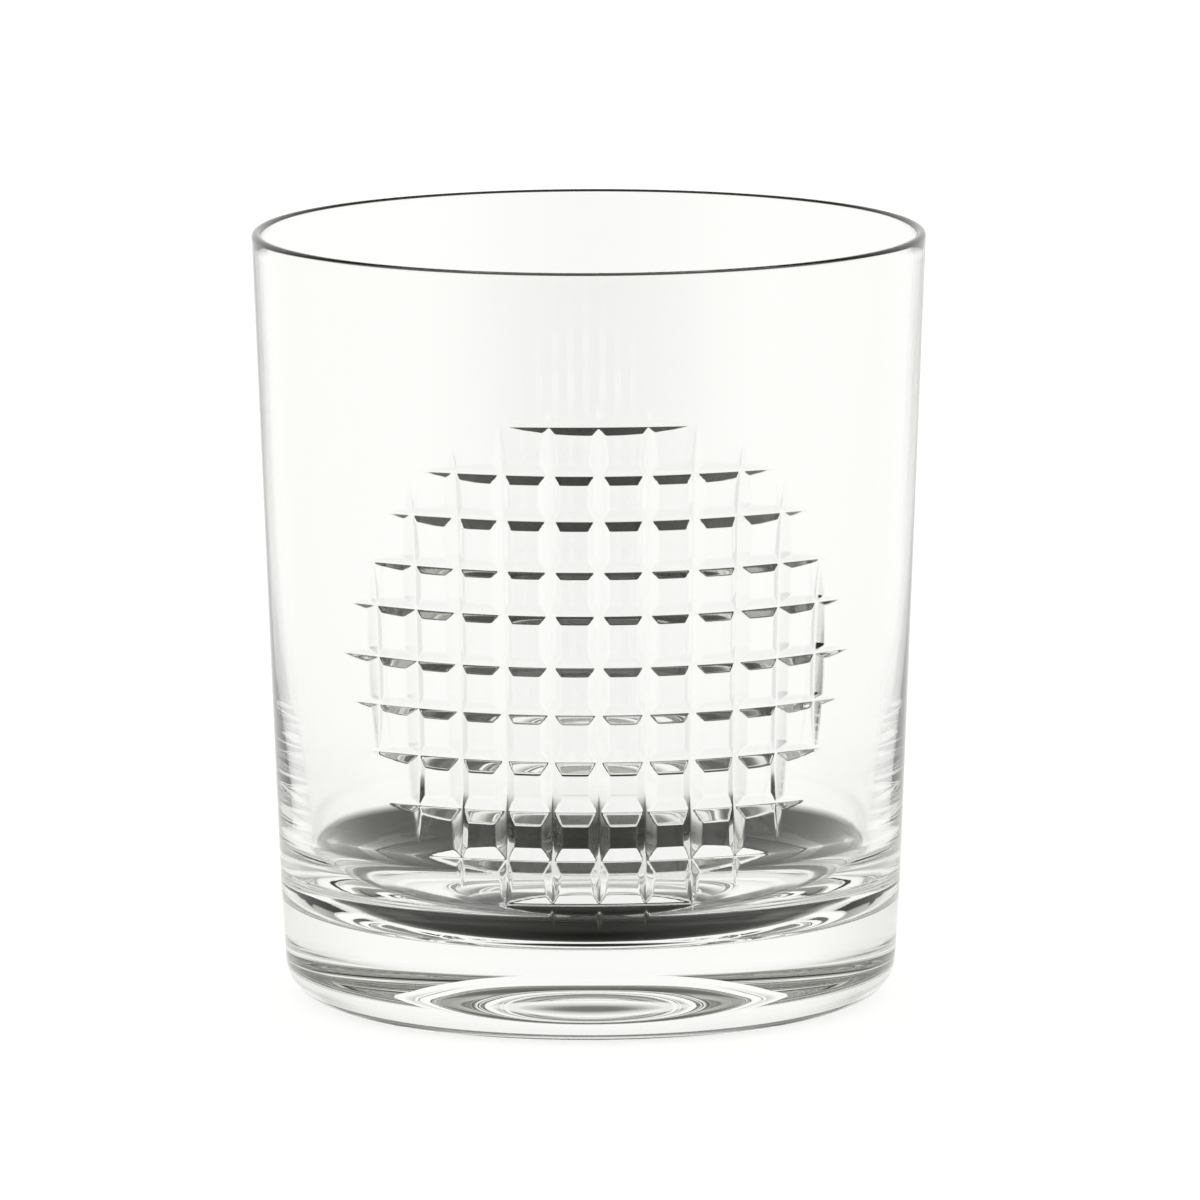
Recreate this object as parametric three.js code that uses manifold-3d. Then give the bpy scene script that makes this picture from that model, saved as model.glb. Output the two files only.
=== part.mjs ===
// A cut-crystal whiskey tumbler: one piece of clear glass with a thin tapered wall,
// a thick solid base and one round patch of mitre-cut grooves on its front.
// Units are millimetres, +Z is up, and the origin is the centre of the foot, on the table.
// The cut patch faces -Y.

import * as THREE from 'three';
import { mergeVertices } from 'three/addons/utils/BufferGeometryUtils.js';
import Module from 'manifold-3d';

// Overall shape of the blown and pressed blank
const HEIGHT = 96.3;
const RIM_RADIUS = 42.0;
const SHOULDER_HEIGHT = 13.8;
const SHOULDER_RADIUS = 38.8;
const HEEL_TOP_RADIUS = 38.25;
const HEEL_SIZE = 5.0;

// Wall, floor and the hollow under the base
const WALL_AT_RIM = 1.2;
const WALL_AT_BASE = 2.8;
const WALL_SWELL = 1.3;
const SWELL_HEIGHT = 20.0;
const FLOOR_HEIGHT = 10.8;
const FLOOR_CORNER_WIDTH = 11.5;
const FLOOR_CORNER_HEIGHT = 11.0;
const PUNT_RADIUS = 18.0;
const PUNT_DEPTH = 5.0;
const PUNT_POWER = 3.0;

// The cut patch: two sets of straight V grooves crossing at right angles inside a circle
const GROOVE_COUNT = 11;
const GROOVE_PITCH = 5.98;
const LEVEL_DEPTH = 0.86;
const LEVEL_LOWER_WIDTH = 1.1;
const LEVEL_UPPER_WIDTH = 1.4;
const UPRIGHT_DEPTH = 1.1;
const UPRIGHT_SIDE_WIDTH = 1.25;
const PATCH_HEIGHT = 47.4;
const PATCH_RADIUS = 32.6;
const PATCH_TURN = THREE.MathUtils.degToRad(1.6);
const RUN_OUT = 11.0;

// Fineness of the faceted solid
const LATHE_SEGMENTS = 60;
const CORNER_STEPS = 6;
const INSIDE_STEPS = 6;
const PUNT_STEPS = 6;
const GROOVE_STEP = 6.0;
const CUTTER_OVERHANG = 0.6;

const wasm = await Module();
wasm.setup();

// Outer radius of the wall at a height above the shoulder.
function outerRadius(height) {
  const along = (height - SHOULDER_HEIGHT) / (HEIGHT - SHOULDER_HEIGHT);
  return SHOULDER_RADIUS + (RIM_RADIUS - SHOULDER_RADIUS) * along;
}

// Inner radius of the wall: the glass thickens evenly from the rim down, and swells a little
// more where the wall grows out of the base.
function innerRadius(height) {
  const along = (height - FLOOR_HEIGHT) / (HEIGHT - FLOOR_HEIGHT);
  const wall = WALL_AT_BASE + (WALL_AT_RIM - WALL_AT_BASE) * along;
  const swell = WALL_SWELL * Math.exp(-(((height - FLOOR_HEIGHT) / SWELL_HEIGHT) ** 2));
  return outerRadius(height) - wall - swell;
}

// Points on a quarter ellipse round a centre, from one angle to the next, both ends included.
function arc(centreX, centreY, radiusX, radiusY, from, to, steps) {
  const points = [];
  for (let step = 0; step <= steps; step += 1) {
    const angle = from + ((to - from) * step) / steps;
    const x = centreX + radiusX * Math.cos(angle);
    const y = centreY + radiusY * Math.sin(angle);
    points.push(new THREE.Vector2(x, y));
  }
  return points;
}

// The underside: a rounded hollow that rises to the axis, ending at the flat foot ring.
function puntPoints() {
  const points = [];
  for (let step = 0; step <= PUNT_STEPS; step += 1) {
    const part = step / PUNT_STEPS;
    const rise = PUNT_DEPTH * (1 - part ** PUNT_POWER);
    points.push(new THREE.Vector2(PUNT_RADIUS * part, rise));
  }
  return points;
}

// The inside of the wall, between the lip and the floor's corner, ends left out.
function insidePoints(top, bottom) {
  const points = [];
  for (let step = 1; step < INSIDE_STEPS; step += 1) {
    const height = bottom + (top - bottom) * (1 - step / INSIDE_STEPS) ** 2;
    points.push(new THREE.Vector2(innerRadius(height), height));
  }
  return points;
}

// The whole profile, from the axis under the base, up the outside and back down the inside.
function profile() {
  const footOuter = HEEL_TOP_RADIUS - HEEL_SIZE;
  const cornerTop = FLOOR_HEIGHT + FLOOR_CORNER_HEIGHT;
  const cornerRadius = innerRadius(cornerTop);
  const lipRadius = WALL_AT_RIM / 2;
  const lipHeight = HEIGHT - lipRadius;
  const lipCentre = RIM_RADIUS - lipRadius;
  const heel = arc(footOuter, HEEL_SIZE, HEEL_SIZE, HEEL_SIZE, -Math.PI / 2, 0, CORNER_STEPS);
  const lip = arc(lipCentre, lipHeight, lipRadius, lipRadius, 0, Math.PI, CORNER_STEPS);
  const corner = arc(
    cornerRadius - FLOOR_CORNER_WIDTH,
    cornerTop,
    FLOOR_CORNER_WIDTH,
    FLOOR_CORNER_HEIGHT,
    0,
    -Math.PI / 2,
    CORNER_STEPS,
  );
  return [
    ...puntPoints(),
    ...heel,
    new THREE.Vector2(SHOULDER_RADIUS, SHOULDER_HEIGHT),
    ...lip,
    ...insidePoints(lipHeight, cornerTop),
    ...corner,
    new THREE.Vector2(0, FLOOR_HEIGHT),
  ];
}

// A closed three.js geometry as a solid that can be cut.
function toSolid(geometry) {
  const bare = geometry.clone();
  bare.deleteAttribute('normal');
  bare.deleteAttribute('uv');
  const merged = mergeVertices(bare, 1e-5);
  const mesh = new wasm.Mesh({
    numProp: 3,
    vertProperties: new Float32Array(merged.attributes.position.array),
    triVerts: new Uint32Array(merged.index.array),
  });
  return new wasm.Manifold(mesh);
}

// A cut solid back as a three.js geometry.
function toGeometry(solid) {
  const mesh = solid.getMesh();
  const geometry = new THREE.BufferGeometry();
  geometry.setAttribute('position', new THREE.BufferAttribute(mesh.vertProperties, 3));
  geometry.setIndex(new THREE.BufferAttribute(mesh.triVerts, 1));
  geometry.computeVertexNormals();
  return geometry;
}

// How deep a groove runs at a distance from its middle: level, then rising out of the glass
// on the curve of the cutting wheel over the last RUN_OUT of its length.
function grooveDepthAt(distance, halfLength, depth) {
  const past = Math.max(0, Math.abs(distance) - (halfLength - RUN_OUT));
  return depth * (1 - (past / RUN_OUT) ** 2);
}

// The bottom line of a level groove, which goes round the wall at one height, from +X to -X.
class LevelGroove extends THREE.Curve {
  constructor(height, halfLength) {
    super();
    this.height = height;
    this.halfLength = halfLength;
  }

  getPoint(t, target = new THREE.Vector3()) {
    const distance = (1 - 2 * t) * (this.halfLength + CUTTER_OVERHANG);
    const radius = outerRadius(this.height);
    const angle = distance / radius;
    const reach = radius - grooveDepthAt(distance, this.halfLength, LEVEL_DEPTH);
    return target.set(reach * Math.sin(angle), -reach * Math.cos(angle), this.height);
  }
}

// The bottom line of an upright groove, which runs up the wall along its line nearest to -Y.
class UprightGroove extends THREE.Curve {
  constructor(halfLength) {
    super();
    this.halfLength = halfLength;
  }

  getPoint(t, target = new THREE.Vector3()) {
    const distance = (2 * t - 1) * (this.halfLength + CUTTER_OVERHANG);
    const height = PATCH_HEIGHT + distance;
    const depth = grooveDepthAt(distance, this.halfLength, UPRIGHT_DEPTH);
    const reach = outerRadius(height) - depth;
    return target.set(0, -reach, height);
  }
}

// The V that the wheel leaves, with its point at the groove's bottom line and carried on to
// twice the groove's depth, clear of the glass. Along both kinds of curve the shape's y axis
// points straight out of the glass, and along a level groove its x axis points down.
function grooveSection(depth, lowerWidth, upperWidth) {
  const shape = new THREE.Shape();
  shape.moveTo(0, 0);
  shape.lineTo(2 * lowerWidth, 2 * depth);
  shape.lineTo(-2 * upperWidth, 2 * depth);
  shape.closePath();
  return shape;
}

// One groove's cutter, swept along its bottom line.
function cutter(path, section) {
  const steps = Math.ceil((2 * path.halfLength) / GROOVE_STEP);
  return new THREE.ExtrudeGeometry(section, { steps, extrudePath: path });
}

// The cutters of the whole patch, turned to where it sits on the wall.
function patchCutters() {
  const cutters = [];
  const levelSection = grooveSection(LEVEL_DEPTH, LEVEL_LOWER_WIDTH, LEVEL_UPPER_WIDTH);
  const uprightSection = grooveSection(UPRIGHT_DEPTH, UPRIGHT_SIDE_WIDTH, UPRIGHT_SIDE_WIDTH);
  const turnPerPitch = GROOVE_PITCH / outerRadius(PATCH_HEIGHT);
  for (let index = 0; index < GROOVE_COUNT; index += 1) {
    const offset = index - (GROOVE_COUNT - 1) / 2;
    const aside = offset * GROOVE_PITCH;
    const halfLength = Math.sqrt(PATCH_RADIUS ** 2 - aside ** 2);
    const level = cutter(new LevelGroove(PATCH_HEIGHT + aside, halfLength), levelSection);
    const upright = cutter(new UprightGroove(halfLength), uprightSection);
    level.rotateZ(PATCH_TURN);
    upright.rotateZ(PATCH_TURN + offset * turnPerPitch);
    cutters.push(level, upright);
  }
  return cutters;
}

// Clear crystal.
function crystal() {
  return new THREE.MeshStandardMaterial({
    color: 0xf4f6f2,
    roughness: 0.02,
    metalness: 0,
    transparent: true,
    opacity: 0.35,
  });
}

// The uncut blank, turned about Y and stood up along Z.
function blank() {
  return new THREE.LatheGeometry(profile(), LATHE_SEGMENTS).rotateX(Math.PI / 2);
}

// The glass: the blank with every groove cut from it.
function tumbler() {
  let solid = toSolid(blank());
  for (const groove of patchCutters()) {
    solid = solid.subtract(toSolid(groove));
  }
  const mesh = new THREE.Mesh(toGeometry(solid), crystal());
  mesh.name = 'tumbler_glass';
  return mesh;
}

const whiskeyTumbler = new THREE.Group();
whiskeyTumbler.add(tumbler());

export default whiskeyTumbler;
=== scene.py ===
# A cut-crystal whiskey tumbler on a plain pale floor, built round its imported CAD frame.
# The CAD solid gives the size. This script makes the fine glass surface, its material and
# the light.
# Lengths are in metres unless a name says otherwise.

import math

import bpy
import numpy as np
from mathutils import Matrix, Vector


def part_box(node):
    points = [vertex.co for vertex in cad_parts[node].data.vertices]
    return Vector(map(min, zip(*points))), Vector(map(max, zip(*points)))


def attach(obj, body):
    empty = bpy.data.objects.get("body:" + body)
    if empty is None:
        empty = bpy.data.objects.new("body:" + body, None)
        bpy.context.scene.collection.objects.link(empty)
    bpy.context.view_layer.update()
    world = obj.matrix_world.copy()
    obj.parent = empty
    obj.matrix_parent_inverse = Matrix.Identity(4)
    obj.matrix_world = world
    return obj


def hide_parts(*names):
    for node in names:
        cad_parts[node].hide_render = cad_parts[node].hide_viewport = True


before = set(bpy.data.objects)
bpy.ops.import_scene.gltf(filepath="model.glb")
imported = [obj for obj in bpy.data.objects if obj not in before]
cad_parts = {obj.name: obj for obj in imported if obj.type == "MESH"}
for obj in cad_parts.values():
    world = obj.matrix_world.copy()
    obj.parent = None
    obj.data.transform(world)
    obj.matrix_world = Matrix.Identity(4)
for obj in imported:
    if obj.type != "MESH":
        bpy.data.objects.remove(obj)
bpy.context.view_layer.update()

MM = 0.001
NODE = "tumbler_glass"
_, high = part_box(NODE)
HEIGHT = high.z
RIM_RADIUS = high.x

# ---------------------------------------------------------------- camera

CAMERA_DISTANCE = 1.693
CAMERA_HEIGHT = 0.3118
CAMERA_LENS_MM = 411.0
CAMERA_SENSOR_MM = 36.0
CAMERA_ROLL = math.radians(-0.15)
CAMERA_REACH = 50.0
AIM = Vector((1.28 * MM, 0.0, 49.67 * MM))


def add_camera():
    """A long lens a little above the rim, looking along +Y."""
    data = bpy.data.cameras.new("camera")
    data.lens = CAMERA_LENS_MM
    data.sensor_width = CAMERA_SENSOR_MM
    data.clip_end = CAMERA_REACH
    camera = bpy.data.objects.new("camera", data)
    bpy.context.scene.collection.objects.link(camera)
    camera.location = (0.0, -CAMERA_DISTANCE, CAMERA_HEIGHT)
    look = (AIM - camera.location).to_track_quat("-Z", "Y").to_matrix().to_4x4()
    turn = look @ Matrix.Rotation(CAMERA_ROLL, 4, "Z")
    camera.matrix_world = Matrix.Translation(camera.location) @ turn
    bpy.context.scene.camera = camera


# ---------------------------------------------------------------- the blank's profile

SHOULDER_HEIGHT = 13.8 * MM
SHOULDER_RADIUS = 38.8 * MM
HEEL_TOP_RADIUS = 38.25 * MM
HEEL_SIZE = 5.0 * MM
WALL_AT_RIM = 1.2 * MM
WALL_AT_BASE = 2.8 * MM
FLOOR_HEIGHT = 10.8 * MM
FLOOR_CORNER_WIDTH = 11.5 * MM
FLOOR_CORNER_HEIGHT = 11.0 * MM
WALL_SWELL = 1.3 * MM
SWELL_HEIGHT = 20.0 * MM
PUNT_RADIUS = 18.0 * MM
PUNT_DEPTH = 5.0 * MM
PUNT_POWER = 3.0

# Steps along each stretch of the profile
PUNT_STEPS = 40
FOOT_STEPS = 8
HEEL_STEPS = 24
SIDE_STEPS = 12
OUTSIDE_STEPS = 10
LIP_STEPS = 24
INSIDE_STEPS = 90
CORNER_STEPS = 48
FLOOR_STEPS = 31

LIP_RADIUS = WALL_AT_RIM / 2
LIP_HEIGHT = HEIGHT - LIP_RADIUS


def outer_radius(z):
    """Outside radius of the plain tapered wall."""
    along = (z - SHOULDER_HEIGHT) / (HEIGHT - SHOULDER_HEIGHT)
    return SHOULDER_RADIUS + (RIM_RADIUS - SHOULDER_RADIUS) * along


def inner_radius(z):
    """Inside radius of the wall above the floor's rounded corner."""
    along = (z - FLOOR_HEIGHT) / (HEIGHT - FLOOR_HEIGHT)
    swell = WALL_SWELL * np.exp(-(((z - FLOOR_HEIGHT) / SWELL_HEIGHT) ** 2))
    return outer_radius(z) - WALL_AT_BASE + (WALL_AT_BASE - WALL_AT_RIM) * along - swell


def arc(centre, radii, start, end, steps):
    """Points on an ellipse, from one angle to another, both ends included."""
    angles = np.linspace(start, end, steps + 1)
    r = centre[0] + radii[0] * np.cos(angles)
    z = centre[1] + radii[1] * np.sin(angles)
    return np.stack([r, z], axis=1)


def line(radius_at, start, end, steps):
    """Points up or down the wall between two heights, both ends left out."""
    z = np.linspace(start, end, steps + 1)[1:-1]
    return np.stack([radius_at(z), z], axis=1)


def under_profile():
    """From the axis under the base, over the flat foot and the heel, to the shoulder."""
    foot_outer = HEEL_TOP_RADIUS - HEEL_SIZE
    r = np.linspace(0.0, PUNT_RADIUS, PUNT_STEPS + 1)
    punt = np.stack([r, PUNT_DEPTH * (1 - (r / PUNT_RADIUS) ** PUNT_POWER)], axis=1)
    foot_r = np.linspace(PUNT_RADIUS, foot_outer, FOOT_STEPS + 1)[1:-1]
    foot = np.stack([foot_r, np.zeros_like(foot_r)], axis=1)
    heel = arc((foot_outer, HEEL_SIZE), (HEEL_SIZE, HEEL_SIZE), -math.pi / 2, 0.0, HEEL_STEPS)
    t = np.linspace(0, 1, SIDE_STEPS + 1)[1:]
    side_r = HEEL_TOP_RADIUS + (SHOULDER_RADIUS - HEEL_TOP_RADIUS) * t
    side_z = HEEL_SIZE + (SHOULDER_HEIGHT - HEEL_SIZE) * t
    side = np.stack([side_r, side_z], axis=1)
    return np.concatenate([punt, foot, heel, side])


def over_profile(start):
    """From a height on the outer wall, over the lip and down the inside, to the floor's middle."""
    corner_top = FLOOR_HEIGHT + FLOOR_CORNER_HEIGHT
    corner_radius = inner_radius(corner_top)
    lip_centre = (RIM_RADIUS - LIP_RADIUS, LIP_HEIGHT)
    corner_centre = (corner_radius - FLOOR_CORNER_WIDTH, corner_top)
    corner_radii = (FLOOR_CORNER_WIDTH, FLOOR_CORNER_HEIGHT)
    outside = line(outer_radius, start, LIP_HEIGHT, OUTSIDE_STEPS)
    lip = arc(lip_centre, (LIP_RADIUS, LIP_RADIUS), 0.0, math.pi, LIP_STEPS)
    inside = line(inner_radius, LIP_HEIGHT, corner_top, INSIDE_STEPS)
    corner = arc(corner_centre, corner_radii, 0.0, -math.pi / 2, CORNER_STEPS)
    floor_r = np.linspace(corner_centre[0], 0.0, FLOOR_STEPS + 1)[1:]
    floor = np.stack([floor_r, np.full_like(floor_r, FLOOR_HEIGHT)], axis=1)
    return np.concatenate([outside, lip, inside, corner, floor])


# ---------------------------------------------------------------- the cut patch

GROOVE_COUNT = 11
GROOVE_PITCH = 5.98 * MM
PATCH_HEIGHT = 47.4 * MM
PATCH_RADIUS = 32.6 * MM
PATCH_TURN = math.radians(1.6)
RUN_OUT = 11.0 * MM
EDGE_ROUND = 0.12 * MM
VALLEY_ROUND = 0.08 * MM
PATCH_MARGIN = 5.0 * MM
GRID_STEP = 0.30 * MM
MIN_STEP = 0.035 * MM
GROOVE_LINES = 17
EDGE_LINES = 7
EDGE_SPREAD = 0.9

# Each level cut, from the lowest up: how far it was cut from its mark, the widths of its lower
# and upper faces, and how much further it runs at each end. The cutter's hand varies these.
LEVEL_SHIFT_MM = (0.10, -0.35, -0.20, 0.10, 0.00, -0.05, 0.40, -0.10, 0.25, -0.10, 0.00)
LEVEL_LOWER_MM = (0.89, 1.30, 1.45, 1.30, 0.95, 0.97, 0.96, 0.82, 1.24, 1.16, 1.01)
LEVEL_UPPER_MM = (1.50, 1.62, 1.50, 1.40, 1.35, 1.35, 1.35, 1.30, 1.40, 1.40, 1.30)
LEVEL_EXTRA_MM = (0.0, 0.0, 0.4, 0.6, 1.6, 3.0, 1.8, 0.6, 0.4, 0.3, -1.3)
LEVEL_DEPTH = 0.86 * MM
UPRIGHT_HALF_WIDTH = 1.25 * MM
# Each upright cut's depth, from left to right: the shorter they are, the shallower.
UPRIGHT_DEPTH_MM = (0.60, 0.80, 1.15, 1.25, 1.25, 1.25, 1.25, 1.25, 1.15, 0.80, 0.63)

OFFSETS = (np.arange(GROOVE_COUNT) - (GROOVE_COUNT - 1) / 2) * GROOVE_PITCH
PATCH_WALL_RADIUS = float(outer_radius(PATCH_HEIGHT))


def soft_max(a, b, blend):
    """The larger of two depths, rounded where they meet."""
    h = np.clip(blend - np.abs(a - b), 0.0, None) / blend
    return np.maximum(a, b) + h * h * blend / 4


def groove_depth(across, along, half_length, lower, upper, depth):
    """Depth of one wheel-cut V groove, which rises out of the glass at both ends.

    Its two faces have their own widths and, with one depth between them, their own slopes."""
    past = np.clip(np.abs(along) - (half_length - RUN_OUT), 0.0, None)
    bottom = depth * (1 - (past / RUN_OUT) ** 2)
    distance = np.sqrt(across**2 + VALLEY_ROUND**2) - VALLEY_ROUND
    fall = distance * depth / np.where(across < 0, lower, upper)
    return bottom - fall


def cut_depth(along_wall, up_wall):
    """Depth of the whole patch of cuts at distances round and up the wall from its middle."""
    level = np.full(np.broadcast(along_wall, up_wall).shape, -1.0)
    upright = level.copy()
    for index, offset in enumerate(OFFSETS):
        half = math.sqrt(PATCH_RADIUS**2 - offset**2)
        lower, upper = LEVEL_LOWER_MM[index] * MM, LEVEL_UPPER_MM[index] * MM
        place = offset + LEVEL_SHIFT_MM[index] * MM
        longer = half + LEVEL_EXTRA_MM[index] * MM
        one = groove_depth(up_wall - place, along_wall, longer, lower, upper, LEVEL_DEPTH)
        level = np.maximum(level, one)
        wide = UPRIGHT_HALF_WIDTH
        deep = UPRIGHT_DEPTH_MM[index] * MM
        one = groove_depth(along_wall - offset, up_wall, half, wide, wide, deep)
        upright = np.maximum(upright, one)
    cuts = soft_max(level, upright, EDGE_ROUND)
    return soft_max(cuts, np.zeros_like(cuts), EDGE_ROUND)


def grid_lines(offsets, lowers, uppers, first, last):
    """Places across the patch, close together on the cuts and closest at their edges."""
    places = [*np.arange(first, last, GRID_STEP), last]
    near = np.linspace(-EDGE_SPREAD, EDGE_SPREAD, EDGE_LINES) * EDGE_ROUND
    for offset, lower, upper in zip(offsets, lowers, uppers):
        places.extend(np.linspace(offset - lower, offset + upper, GROOVE_LINES))
        places.extend(offset - lower + near)
        places.extend(offset + upper + near)
        places.extend(offset + np.array([-0.5, 0.5]) * VALLEY_ROUND)
    places = np.unique(np.round(places, 7))
    places = places[(places >= first) & (places <= last)]
    keep = np.concatenate([[True], np.diff(places) > MIN_STEP])
    return places[keep]


# ---------------------------------------------------------------- the mesh

ROUND = 288
REST_ROWS = 25
SHOULDER_GAP = 0.3 * MM


class MeshBuilder:
    """Collects points and faces, and joins runs of points into one closed skin."""

    def __init__(self):
        self.points = []
        self.faces = []
        self.count = 0

    def add(self, xyz):
        """Adds points and returns their numbers, in the same shape."""
        xyz = np.asarray(xyz, float)
        flat = xyz.reshape(-1, 3)
        numbers = np.arange(self.count, self.count + len(flat)).reshape(xyz.shape[:-1])
        self.points.append(flat)
        self.count += len(flat)
        return numbers

    def grid(self, numbers, closed=False):
        """Quads over a grid of point numbers: rows go up, columns go round."""
        if closed:
            numbers = np.concatenate([numbers, numbers[:, :1]], axis=1)
        a, b = numbers[:-1, :-1], numbers[:-1, 1:]
        c, d = numbers[1:, 1:], numbers[1:, :-1]
        self.faces.extend(np.stack([a, b, c, d], axis=-1).reshape(-1, 4).tolist())

    def zip_chains(self, lower, upper, lower_at, upper_at):
        """Triangles between two runs of points that have different numbers of points."""
        i, j = 0, 0
        while i < len(lower) - 1 or j < len(upper) - 1:
            step_lower = j == len(upper) - 1
            if i < len(lower) - 1 and j < len(upper) - 1:
                step_lower = lower_at[i + 1] <= upper_at[j + 1]
            if step_lower:
                self.faces.append([lower[i], lower[i + 1], upper[j]])
                i += 1
            else:
                self.faces.append([lower[i], upper[j + 1], upper[j]])
                j += 1

    def fan(self, ring, centre, facing_up):
        """Closes a ring with triangles to one point."""
        for k in range(len(ring)):
            pair = [ring[k], ring[(k + 1) % len(ring)]]
            self.faces.append([*pair, centre] if facing_up else [*pair[::-1], centre])

    def build(self, name):
        mesh = bpy.data.meshes.new(name)
        mesh.from_pydata(np.concatenate(self.points).tolist(), [], self.faces)
        mesh.validate()
        mesh.polygons.foreach_set("use_smooth", np.ones(len(mesh.polygons), bool))
        mesh.update()
        return mesh


def around(angle, radius, z):
    """A point on the glass. Angles go round from the front, which faces -Y, towards +X."""
    angle, radius, z = np.broadcast_arrays(angle, radius, z)
    return np.stack([radius * np.sin(angle), -radius * np.cos(angle), z], axis=-1)


def turned(builder, profile, ring_angles):
    """A turned skin through the profile's points, as rings of point numbers."""
    return builder.add(around(ring_angles[None, :], profile[:, :1], profile[:, 1:]))


def glass_mesh():
    """The whole glass as one closed skin."""
    builder = MeshBuilder()
    reach = PATCH_RADIUS + PATCH_MARGIN
    wide = np.full(GROOVE_COUNT, UPRIGHT_HALF_WIDTH)
    across = grid_lines(OFFSETS, wide, wide, -reach, reach)
    marks = OFFSETS + np.array(LEVEL_SHIFT_MM) * MM
    lowers, uppers = np.array(LEVEL_LOWER_MM) * MM, np.array(LEVEL_UPPER_MM) * MM
    bottom = SHOULDER_HEIGHT + SHOULDER_GAP - PATCH_HEIGHT
    up = grid_lines(marks, lowers, uppers, bottom, reach)
    patch_angles = PATCH_TURN + across / PATCH_WALL_RADIUS
    patch_z = PATCH_HEIGHT + up
    depth = cut_depth(across[None, :], up[:, None])
    radius = outer_radius(patch_z)[:, None] - depth
    patch = builder.add(around(patch_angles[None, :], radius, patch_z[:, None]))
    builder.grid(patch)

    # The rest of the same band of wall, in far fewer steps.
    gap = 2 * math.pi / ROUND
    first, last = patch_angles[-1] + gap, patch_angles[0] + 2 * math.pi - gap
    rest_angles = np.linspace(first, last, round((last - first) / gap) + 1)
    rest_z = np.linspace(patch_z[0], patch_z[-1], REST_ROWS)
    rest_radius = outer_radius(rest_z)[:, None]
    rest = builder.add(around(rest_angles[None, :], rest_radius, rest_z[:, None]))
    builder.grid(rest)
    builder.zip_chains(patch[::-1, -1], rest[::-1, 0], -patch_z[::-1], -rest_z[::-1])
    builder.zip_chains(patch[:, 0], rest[:, -1], patch_z, rest_z)

    # Plain turned skins above and below, zipped to the band.
    whole = patch_angles[0] + np.arange(ROUND) * gap
    band_at = np.concatenate([patch_angles, rest_angles, [patch_angles[0] + 2 * math.pi]])
    ring_at = np.append(whole, patch_angles[0] + 2 * math.pi)
    below = under_profile()
    low_rings = turned(builder, below[1:], whole)
    builder.grid(low_rings, closed=True)
    band_bottom = np.concatenate([patch[0], rest[0], patch[0, :1]])
    ring = np.append(low_rings[-1], low_rings[-1, 0])
    builder.zip_chains(ring, band_bottom, ring_at, band_at)
    upper = over_profile(patch_z[-1])
    high_rings = turned(builder, upper[:-1], whole)
    builder.grid(high_rings, closed=True)
    band_top = np.concatenate([patch[-1], rest[-1], patch[-1, :1]])
    ring = np.append(high_rings[0], high_rings[0, 0])
    builder.zip_chains(band_top, ring, band_at, ring_at)
    under_centre = builder.add([[0.0, 0.0, below[0, 1]]])[0]
    floor_centre = builder.add([[0.0, 0.0, upper[-1, 1]]])[0]
    builder.fan(low_rings[0], under_centre, False)
    builder.fan(high_rings[-1], floor_centre, True)
    return builder.build("glass")


# ---------------------------------------------------------------- material

GLASS_IOR = 1.52
# Each ripple's noise scale and height, drawn out upright by the stretch
RIPPLES = ((90.0, 0.030 * MM), (420.0, 0.002 * MM))
RIPPLE_STRETCH = 0.12
# Where this noise is above the first level the polish weakens, and is roughest at the second
POLISH_SCALE = 160.0
POLISH_LEVELS = (0.55, 0.80)
POLISH_ROUGHEST = 0.03


def crystal_material():
    """Clear polished crystal, with a faint ripple and a slightly uneven polish."""
    material = bpy.data.materials.new("crystal")
    material.use_nodes = True
    nodes, links = material.node_tree.nodes, material.node_tree.links
    shader = nodes["Principled BSDF"]
    shader.inputs["Base Color"].default_value = (1.0, 1.0, 1.0, 1.0)
    shader.inputs["Roughness"].default_value = 0.0
    shader.inputs["IOR"].default_value = GLASS_IOR
    shader.inputs["Transmission Weight"].default_value = 1.0

    # Slow upright ripple, left by the blank's mould, and a finer one left by polishing.
    place = nodes.new("ShaderNodeTexCoord")
    stretch = nodes.new("ShaderNodeMapping")
    stretch.inputs["Scale"].default_value = (1.0, 1.0, RIPPLE_STRETCH)
    links.new(place.outputs["Object"], stretch.inputs["Vector"])
    normal = None
    for scale, ripple_height in RIPPLES:
        ripple = nodes.new("ShaderNodeTexNoise")
        ripple.inputs["Scale"].default_value = scale
        ripple.inputs["Detail"].default_value = 1.0
        links.new(stretch.outputs["Vector"], ripple.inputs["Vector"])
        bump = nodes.new("ShaderNodeBump")
        bump.inputs["Strength"].default_value = 1.0
        bump.inputs["Distance"].default_value = ripple_height
        links.new(ripple.outputs["Fac"], bump.inputs["Height"])
        if normal is not None:
            links.new(normal, bump.inputs["Normal"])
        normal = bump.outputs["Normal"]
    links.new(normal, shader.inputs["Normal"])

    # The polish is a little less perfect in small patches.
    patches = nodes.new("ShaderNodeTexNoise")
    patches.inputs["Scale"].default_value = POLISH_SCALE
    patches.inputs["Detail"].default_value = 4.0
    links.new(place.outputs["Object"], patches.inputs["Vector"])
    polish = nodes.new("ShaderNodeMapRange")
    polish.inputs["From Min"].default_value = POLISH_LEVELS[0]
    polish.inputs["From Max"].default_value = POLISH_LEVELS[1]
    polish.inputs["To Max"].default_value = POLISH_ROUGHEST
    links.new(patches.outputs["Fac"], polish.inputs["Value"])
    links.new(polish.outputs["Result"], shader.inputs["Roughness"])
    return material


def add_glass():
    """The visual glass, in place of the CAD solid."""
    mesh = glass_mesh()
    glass = bpy.data.objects.new("crystal_glass", mesh)
    bpy.context.scene.collection.objects.link(glass)
    glass.data.materials.append(crystal_material())
    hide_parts(NODE)
    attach(glass, "root")


# ---------------------------------------------------------------- floor and light

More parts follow.
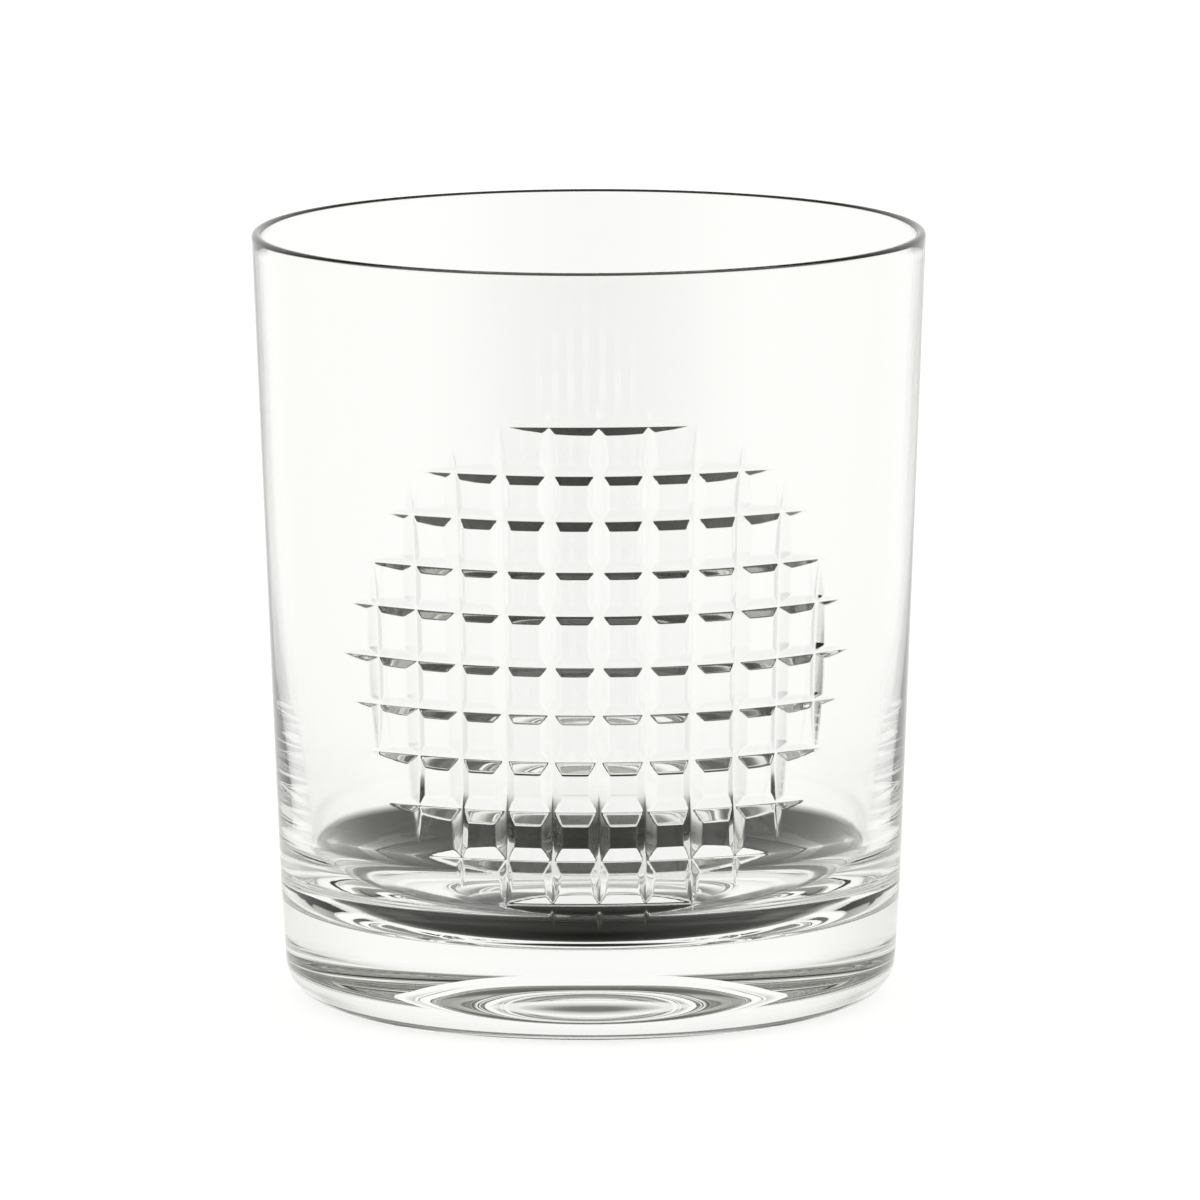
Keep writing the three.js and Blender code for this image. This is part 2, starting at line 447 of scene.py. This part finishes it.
FLOOR_SIZE = 6.0
FLOOR_TONE = 0.9
FLOOR_ROUGHNESS = 0.9
FLOOR_GLOW = 0.72


def add_floor():
    """A plain pale floor, which the glass doesn't refract or reflect."""
    mesh = bpy.data.meshes.new("floor")
    half = FLOOR_SIZE / 2
    corners = [(-half, -half, 0), (half, -half, 0), (half, half, 0), (-half, half, 0)]
    mesh.from_pydata(corners, [], [(0, 1, 2, 3)])
    floor = bpy.data.objects.new("floor", mesh)
    bpy.context.scene.collection.objects.link(floor)
    material = bpy.data.materials.new("pale_floor")
    material.use_nodes = True
    shader = material.node_tree.nodes["Principled BSDF"]
    shader.inputs["Base Color"].default_value = (FLOOR_TONE, FLOOR_TONE, FLOOR_TONE, 1.0)
    shader.inputs["Roughness"].default_value = FLOOR_ROUGHNESS
    shader.inputs["Emission Color"].default_value = (1.0, 1.0, 1.0, 1.0)
    shader.inputs["Emission Strength"].default_value = FLOOR_GLOW
    mesh.materials.append(material)
    floor.visible_transmission = False
    floor.visible_glossy = False


# The studio's light by direction. Each run gives the brightness at elevations in degrees, from
# straight down to straight up. A dark table below and a dark ceiling close the white wall
# behind the glass, and the camera's side is dimmer. Left is towards -X.
LIGHT_NEAR = (
    (-90, 0.015), (-70, 0.015), (-45, 0.6), (-30, 0.12), (-8, 0.12), (8, 0.15), (28, 0.4),
    (42, 0.45), (58, 0.3), (75, 0.3), (90, 0.45),
)
LIGHT_LEFT = (
    (-90, 0.015), (-62, 0.02), (-45, 0.45), (-30, 0.7), (-6, 0.8), (10, 0.65), (24, 0.35),
    (40, 0.35), (58, 0.5), (75, 0.45), (90, 0.45),
)
LIGHT_FAR_LEFT = (
    (-90, 0.015), (-52, 0.02), (-40, 0.25), (-31, 0.5), (-20, 0.66), (-8, 0.9), (10, 0.8),
    (24, 0.5), (38, 0.2), (60, 0.15), (90, 0.45),
)
LIGHT_BACK_LEFT = (
    (-90, 0.015), (-60, 0.01), (-37, 0.01), (-30, 0.2), (-25, 0.92), (-19, 0.97),
    (22, 0.97), (33, 0.6), (42, 0.15), (60, 0.08), (90, 0.45),
)
LIGHT_BACK = (
    (-90, 0.015), (-70, 0.005), (-29.5, 0.005), (-28, 0.25), (-25.5, 0.97), (24, 1),
    (33, 0.7), (41, 0.2), (60, 0.03), (90, 0.45),
)
LIGHT_BACK_RIGHT = (
    (-90, 0.015), (-60, 0.01), (-37, 0.02), (-30, 0.3), (-25, 0.92), (-19, 0.97),
    (22, 0.97), (33, 0.6), (42, 0.15), (60, 0.08), (90, 0.45),
)
LIGHT_FAR_RIGHT = (
    (-90, 0.015), (-52, 0.02), (-40, 0.35), (-31, 0.58), (-20, 0.7), (-8, 0.94),
    (10, 0.85), (24, 0.5), (38, 0.2), (60, 0.15), (90, 0.45),
)
LIGHT_RIGHT = (
    (-90, 0.015), (-62, 0.02), (-45, 0.45), (-30, 0.75), (-6, 0.92), (10, 0.75),
    (24, 0.35), (40, 0.35), (58, 0.5), (75, 0.45), (90, 0.45),
)

# Each run's azimuth in degrees, measured from +Y towards +X
LIGHT_SECTORS = (
    (-180, LIGHT_NEAR),
    (-110, LIGHT_LEFT),
    (-60, LIGHT_FAR_LEFT),
    (-28, LIGHT_BACK_LEFT),
    (0, LIGHT_BACK),
    (28, LIGHT_BACK_RIGHT),
    (60, LIGHT_FAR_RIGHT),
    (110, LIGHT_RIGHT),
    (180, LIGHT_NEAR),
)
LIGHT_STRENGTH = 1.05
LIGHT_TINT = (0.985, 0.995, 0.97)
DARK_BLUE_LOSS = 0.12

BOUNCES = 32
GLOSSY_BOUNCES = 16
CLEAR_BOUNCES = 16


def tinted(tone):
    """A brightness as a colour: whites hardly warm, darker tones a little olive."""
    red, green, blue = LIGHT_TINT
    return (tone * red, tone * green, tone * (blue - DARK_BLUE_LOSS * (1 - tone)), 1.0)


def add_world():
    """Soft light by direction for all that the glass refracts and reflects, and plain white
    behind it for the camera."""
    world = bpy.data.worlds.new("studio")
    bpy.context.scene.world = world
    world.use_nodes = True
    nodes, links = world.node_tree.nodes, world.node_tree.links
    nodes.clear()
    output = nodes.new("ShaderNodeOutputWorld")
    background = nodes.new("ShaderNodeBackground")
    background.inputs["Strength"].default_value = LIGHT_STRENGTH
    links.new(background.outputs[0], output.inputs[0])
    coordinates = nodes.new("ShaderNodeTexCoord")
    split = nodes.new("ShaderNodeSeparateXYZ")
    links.new(coordinates.outputs["Generated"], split.inputs[0])
    rise = nodes.new("ShaderNodeMath")
    rise.operation = "ARCSINE"
    links.new(split.outputs["Z"], rise.inputs[0])
    height = nodes.new("ShaderNodeMapRange")
    height.inputs["From Min"].default_value = -math.pi / 2
    height.inputs["From Max"].default_value = math.pi / 2
    links.new(rise.outputs[0], height.inputs["Value"])
    turn = nodes.new("ShaderNodeMath")
    turn.operation = "ARCTAN2"
    links.new(split.outputs["X"], turn.inputs[0])
    links.new(split.outputs["Y"], turn.inputs[1])

    colour = None
    for index, (azimuth, stops) in enumerate(LIGHT_SECTORS):
        ramp = nodes.new("ShaderNodeValToRGB")
        links.new(height.outputs[0], ramp.inputs[0])
        elements = ramp.color_ramp.elements
        while len(elements) < len(stops):
            elements.new(0.5)
        for element, (degrees, tone) in zip(elements, stops):
            element.position = (degrees + 90) / 180
            element.color = tinted(tone)
        if colour is None:
            colour = ramp.outputs[0]
            continue
        share = nodes.new("ShaderNodeMapRange")
        share.interpolation_type = "SMOOTHSTEP"
        share.inputs["From Min"].default_value = math.radians(LIGHT_SECTORS[index - 1][0])
        share.inputs["From Max"].default_value = math.radians(azimuth)
        links.new(turn.outputs[0], share.inputs["Value"])
        blend = nodes.new("ShaderNodeMix")
        blend.data_type = "RGBA"
        links.new(share.outputs[0], blend.inputs["Factor"])
        links.new(colour, blend.inputs["A"])
        links.new(ramp.outputs[0], blend.inputs["B"])
        colour = blend.outputs["Result"]

    path = nodes.new("ShaderNodeLightPath")
    mix = nodes.new("ShaderNodeMix")
    mix.data_type = "RGBA"
    links.new(path.outputs["Is Camera Ray"], mix.inputs["Factor"])
    links.new(colour, mix.inputs["A"])
    mix.inputs["B"].default_value = (1.0, 1.0, 1.0, 1.0)
    links.new(mix.outputs["Result"], background.inputs[0])


def set_light_paths():
    """Enough bounces for light to find its way through the thick glass."""
    scene = bpy.context.scene
    scene.view_settings.view_transform = "Standard"
    scene.cycles.max_bounces = BOUNCES
    scene.cycles.transmission_bounces = BOUNCES
    scene.cycles.glossy_bounces = GLOSSY_BOUNCES
    scene.cycles.transparent_max_bounces = CLEAR_BOUNCES


add_camera()
add_glass()
add_floor()
add_world()
set_light_paths()
